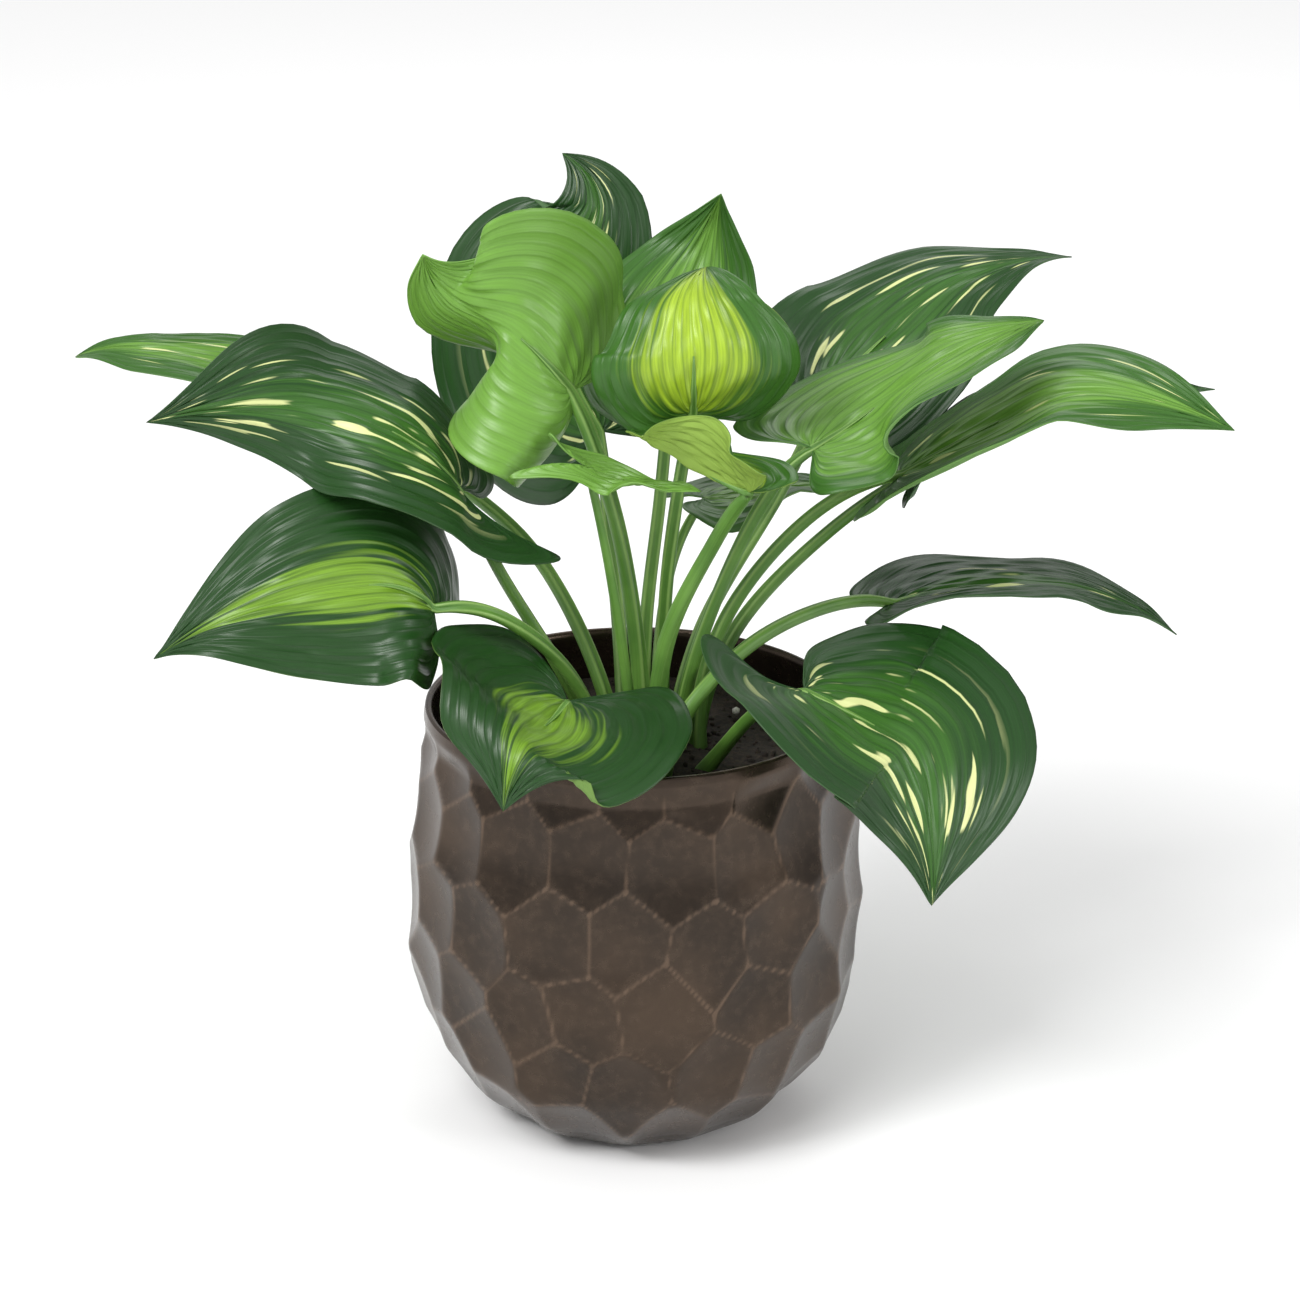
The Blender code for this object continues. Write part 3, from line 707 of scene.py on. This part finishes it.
trial, _ = blade_surface(LEAVES["back"], 0)
print("one skin of a blade has", trial.shape[0] * trial.shape[1], "points")

# %% [markdown]
# ## How a blade is coloured
# A variegated hosta has a bright centre that runs out along the veins into a darker margin, and
# cream flecks between the veins. All of it follows the blade's own parameters: the flecks are a
# noise stretched along the veins, and the bright centre is a mask on the distance from the
# midrib. The underside is a paler, duller green.

# %% Leaf colours
DARK, MIDDLE, LIGHT = (0.012, 0.056, 0.008), (0.038, 0.130, 0.014), (0.150, 0.330, 0.045)
GLOW = (0.180, 0.340, 0.025)
LIME, CREAM = (0.360, 0.530, 0.030), (0.700, 0.740, 0.330)
# margin colour, centre colour, how far the centre reaches, amount of cream flecks
STYLES = {
    "far_left": (MIDDLE, LIGHT, 0.55, 0.35), "upper_left": (DARK, MIDDLE, 0.50, 0.75),
    "lower_left": (DARK, GLOW, 0.38, 0.00), "front_left": (DARK, GLOW, 0.42, 0.00),
    "front_right": (DARK, MIDDLE, 0.60, 0.75), "right_low": (DARK, MIDDLE, 0.40, 0.30),
    "right": (MIDDLE, LIGHT, 0.50, 0.25), "back_right": (DARK, MIDDLE, 0.50, 0.60),
    "mid_right": (MIDDLE, LIGHT, 0.95, 0.00), "centre": (MIDDLE, LIME, 0.62, 0.00),
    "centre_back": (MIDDLE, LIGHT, 0.70, 0.00), "small_centre": (MIDDLE, LIME, 0.70, 0.00),
    "back": (DARK, MIDDLE, 0.50, 0.60), "mid_left": (LIGHT, LIGHT, 0.80, 0.00),
    "far_right": (DARK, MIDDLE, 0.50, 0.20), "low_back": (MIDDLE, LIGHT, 0.50, 0.00),
    "young": (LIGHT, LIGHT, 0.80, 0.00),
}


def leaf_look(name, margin, centre, reach, flecks, seed):
    """From the margin's colour to the centre's across the blade, with veins, flecks and underside.

    The map's first number runs along the blade and its second across, with the midrib at 0.5.
    """
    look = Look(f"{name}_leaf", Specular_IOR_Level=0.4)
    u, v, _ = look.parts(look.coordinates("UV"))
    side = abs(v * 2 - 1)
    half = v.step(0.499, 0.501)
    along = look.vector(u * 2.2 + seed, side * 16 + half * 40)
    streaks = look.noise(along, 1.0, 2.0)
    fine = look.noise(look.vector(u * 5 + seed, side * 60 + half * 40), 1.0, 2.0)
    edge = side + (streaks - 0.5) * 0.9 + abs(u - 0.45) * 0.5
    inside = 1 - edge.step(reach * 0.55, reach * 1.15)
    colour = look.blend(inside, margin, centre)
    colour = look.blend(fine.step(0.3, 0.75) * 0.35, colour, shade(margin, 0.55))
    vein = ((side * (2 * math.pi * RIBS)).cosine() * 0.5 + 0.5) ** 6
    colour = look.blend(vein * 0.4, colour, shade(margin, 0.7))
    if flecks:
        spots = look.noise(look.vector(u * 4.5 + seed + 7, side * 10 + half * 40), 1.0, 1.0)
        where = spots.step(0.70 - 0.12 * flecks, 0.75 - 0.12 * flecks) * (1 - side.step(0.55, 0.8))
        colour = look.blend(where * 0.9, colour, CREAM)
    ridge = 1 - side.step(0.0, 0.03)
    colour = look.blend(ridge * 0.5, colour, centre)
    under = Value(look, look.node("Attribute", {"attribute_name": "under"}).outputs["Fac"])
    pale = tuple(0.5 * (a + b) + 0.03 for a, b in zip(margin, centre))
    colour = look.blend(under, colour, pale)
    look.set("Base Color", colour)
    look.set("Roughness", 0.30 + fine * 0.16 + under * 0.25)
    look.bump(vein * 0.6 + fine * 0.4, 0.0005, 0.5)
    return look.material


for number, (name, shape) in enumerate(LEAVES.items()):
    grid, uv = blade_surface(shape, number + 20)
    points, faces, uv, under = sheet_of(grid, uv)
    paint = leaf_look(name, *STYLES[name], number)
    node = f"{name}_blade"
    add_piece(f"{name}_leaf_blade", points, faces, paint, node, uv, under, merge=POLE)
print("blades:", len(LEAVES), "with", len(faces), "quads each")

# %% [markdown]
# ## The stalks
# A hosta's stalk is a thick channel: round below, with a groove along the side that faces the
# plant's middle, and paler edges. It is a profile carried along a path. The path runs on under
# the first third of the blade, along its midrib, so that stalk and blade join without a step.

# %% Carry the channel along each stalk
STATIONS = 60
AROUND = 28
SHEATH = 5 * MM  # how far below the crown's top a stalk starts, hidden in the soil
GROOVE_DEPTH = 0.45  # as a share of the stalk's radius
GROOVE_WIDTH = 0.55  # in radians round the stalk
FLARE = 0.9 * MM
FLARE_LENGTH = 10 * MM
THINNING = 12 * MM  # how far before the blade the stalk starts to thin
END_RADIUS = 0.35 * MM
PATH_POINTS = 90


def stalk_surface(shape):
    """The profile radius is r * (1 - depth * exp(-(angle / width)^2)): a circle with one groove."""
    foot = (*shape["stalk"][0], (crown_high.z - SHEATH) / MM)
    knots = np.array([foot, *shape["stalk"][1:], shape["midrib"][0]]) * MM
    whole = through(knots, np.linspace(0, 1, PATH_POINTS))
    rib = through(np.array(shape["midrib"]) * MM, np.linspace(0, 1, PATH_POINTS))[1:30]
    face = unit(np.array(shape["faces"][0], float))
    path = np.concatenate([whole, rib])
    run = np.concatenate([[0], np.cumsum(np.linalg.norm(np.diff(path, axis=0), axis=1))])
    joint = run[len(whole) - 1]
    places = np.linspace(0, run[-1], STATIONS)
    centre = np.stack([np.interp(places, run, path[:, k]) for k in range(3)], -1)
    ahead = unit(np.gradient(centre, axis=0))
    low, high = np.array(shape["thick"]) * MM
    share = np.clip(places / joint, 0, 1)
    radius = low + (high - low) * share**0.7 + FLARE * np.exp(-places / FLARE_LENGTH)
    past = np.clip((places - joint + THINNING) / (run[-1] - joint + THINNING), 0, 1)
    radius = radius * (1 - past) + END_RADIUS * past
    centre = centre - face * (past * radius)[:, None] * 0.8
    # the groove looks to the blade's face at the top and to the plant's middle at the foot
    inward = np.stack([CROWN[0] - centre[:, 0], CROWN[1] - centre[:, 1], 0.02 + 0 * places], -1)
    groove = unit(unit(inward) * (1 - share)[:, None] + face * share[:, None])
    groove = unit(groove - (groove * ahead).sum(-1, keepdims=True) * ahead)
    other = np.cross(ahead, groove)
    angle = np.linspace(-math.pi, math.pi, AROUND, endpoint=False)
    cut = 1 - GROOVE_DEPTH * np.exp(-((angle / GROOVE_WIDTH) ** 2))
    ring = np.cos(angle)[:, None] * groove[:, None] + np.sin(angle)[:, None] * other[:, None]
    points = centre[:, None] + (radius[:, None] * cut[None, :])[..., None] * ring
    ends = np.repeat(centre[[0, -1], None], AROUND, 1)
    points = np.concatenate([ends[:1], points, ends[1:]])
    along, around = np.linspace(0, 1, STATIONS + 2), (angle + math.pi) / (2 * math.pi)
    return points, np.stack(np.meshgrid(along, around, indexing="ij"), -1)


def stalk_look():
    """Grass green with fine fibres, paler on both edges of the groove and darker at the foot."""
    look = Look("channelled_stalk")
    u, v, _ = look.parts(look.coordinates("UV"))
    place = look.coordinates("Object")
    from_groove = abs(v - 0.5)
    fibre = look.noise(look.vector(u * 3, v * 30), 1.0, 2.0)
    patch = look.noise(place, 30.0)
    colour = look.blend(patch.step(0.35, 0.7), (0.075, 0.190, 0.026), (0.135, 0.290, 0.045))
    colour = look.blend(fibre.step(0.4, 0.8) * 0.5, colour, (0.050, 0.130, 0.020))
    edge = from_groove.step(0.07, 0.11) * (1 - from_groove.step(0.13, 0.18))
    colour = look.blend(edge * 0.55, colour, (0.30, 0.47, 0.13))
    colour = look.blend((1 - u.step(0.0, 0.14)) * 0.6, colour, (0.040, 0.085, 0.020))
    look.set("Base Color", colour)
    look.set("Roughness", 0.38 + fibre * 0.15)
    look.bump(fibre, 0.0004, 0.4)
    return look.material


stalk_green = stalk_look()
stalk_faces = grid_faces(STATIONS + 2, AROUND, around=True)
for name, shape in LEAVES.items():
    points, uv = stalk_surface(shape)
    add_piece(
        f"{name}_leaf_stalk", points.reshape(-1, 3), stalk_faces, stalk_green,
        f"{name}_stalk", uv.reshape(-1, 2), merge=POLE,
    )
print("stalks:", len(LEAVES))

# %% [markdown]
# ## Floor, light and camera
# A plain pale floor runs far behind the plant, so no edge shows. A wide sun and an even white world
# light it as a product is lit, and three square lamps add the shine on the glaze and the leaves.
# The camera looks down by about twenty degrees from a metre and a half away.

# %% Set the stage
def pale_floor():
    """One large square under the pot."""
    mesh = bpy.data.meshes.new("floor")
    half = 12.0
    corners = [(-half, -half, 0), (half, -half, 0), (half, half, 0), (-half, half, 0)]
    mesh.from_pydata(corners, [], [(0, 1, 2, 3)])
    look = Look("pale_floor", Roughness=0.9)
    look.shader.inputs["Base Color"].default_value = (0.93, 0.93, 0.93, 1)
    look.shader.inputs["Specular IOR Level"].default_value = 0.1
    mesh.materials.append(look.material)
    made = bpy.data.objects.new("floor", mesh)
    bpy.context.scene.collection.objects.link(made)


def soft_lamp(name, place, target, size, power):
    """A square lamp turned so that its light falls on the target."""
    lamp = bpy.data.lights.new(name, "AREA")
    lamp.size = size
    lamp.energy = power
    made = bpy.data.objects.new(name, lamp)
    made.location = place
    aim = Vector(target) - Vector(place)
    made.rotation_euler = aim.to_track_quat("-Z", "Y").to_euler()
    bpy.context.scene.collection.objects.link(made)


pale_floor()
soft_lamp("lamp_above_left", (-1.0, -1.0, 1.5), (0, 0, 0.15), 0.6, 16)
soft_lamp("lamp_right", (1.2, -0.9, 0.7), (0, 0, 0.12), 0.4, 6)
soft_lamp("lamp_behind", (0.3, 1.6, 1.7), (0, 0, 0.25), 1.2, 8)
sun = bpy.data.lights.new("wide_sun", "SUN")
sun.energy = 1.3
sun.angle = math.radians(30)
sun_object = bpy.data.objects.new("wide_sun", sun)
sun_object.rotation_euler = (math.radians(32), math.radians(-22), 0)
bpy.context.scene.collection.objects.link(sun_object)
world = bpy.data.worlds.new("even_white")
world.use_nodes = True
background = world.node_tree.nodes["Background"]
background.inputs["Strength"].default_value = 0.62
background.inputs["Color"].default_value = (1, 1, 1, 1)
bpy.context.scene.world = world
bpy.context.scene.view_settings.view_transform = "Standard"
print("lights:", [light.name for light in bpy.data.lights if light.users])

# %% Set the camera
DISTANCE = 1.5
LOOKING_DOWN = math.radians(20.7)
target = Vector((6.7 * MM, 0, 208 * MM))
lens = bpy.data.cameras.new("camera")
lens.lens = 98.95
lens.sensor_width = 36
camera = bpy.data.objects.new("camera", lens)
backwards = Vector((0, -math.cos(LOOKING_DOWN), math.sin(LOOKING_DOWN)))
camera.location = target + backwards * DISTANCE
camera.rotation_euler = (math.pi / 2 - LOOKING_DOWN, 0, 0)
bpy.context.scene.collection.objects.link(camera)
bpy.context.scene.camera = camera
print("camera, mm:", [round(v / MM) for v in camera.location])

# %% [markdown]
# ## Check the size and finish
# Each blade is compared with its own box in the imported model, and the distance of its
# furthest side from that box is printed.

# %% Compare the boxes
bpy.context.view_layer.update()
for name in LEAVES:
    low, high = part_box(f"{name}_blade")
    points = np.array(bpy.data.objects[f"{name}_leaf_blade"].bound_box)
    off = max(np.abs(points.min(0) - low).max(), np.abs(points.max(0) - high).max())
    print(f"{name}: furthest side is {off / MM:.1f} mm from its packed place")
